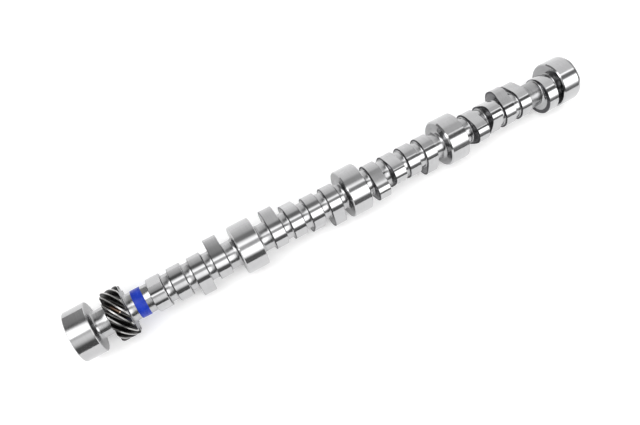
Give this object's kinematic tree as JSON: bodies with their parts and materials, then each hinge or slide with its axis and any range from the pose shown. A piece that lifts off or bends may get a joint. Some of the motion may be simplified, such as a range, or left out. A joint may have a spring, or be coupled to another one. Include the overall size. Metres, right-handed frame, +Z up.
{
  "type": "camshaft",
  "caption": "One-piece steel camshaft for a pushrod V8: ground bearing journals, roller lobes, a fuel-pump eccentric and a helical distributor-drive gear.",
  "frame": {"origin": "centre of the middle bearing journal, on the shaft axis", "axes": "+X along the shaft towards the front end, where the timing sprocket bolts on; +Z up as the shaft lies on its journals"},
  "size_m": [0.548, 0.0474, 0.0474],
  "materials": {
    "ground_steel": "ground and polished journals and lobes, turned necks, dark hobbed gear teeth",
    "hardened_pin": "ground hardened steel",
    "id_paint": "glossy blue marking paint"
  },
  "bodies": {
    "root": {"camshaft": "ground_steel", "dowel_pin": "hardened_pin", "id_band": "id_paint"}
  },
  "joints": []
}
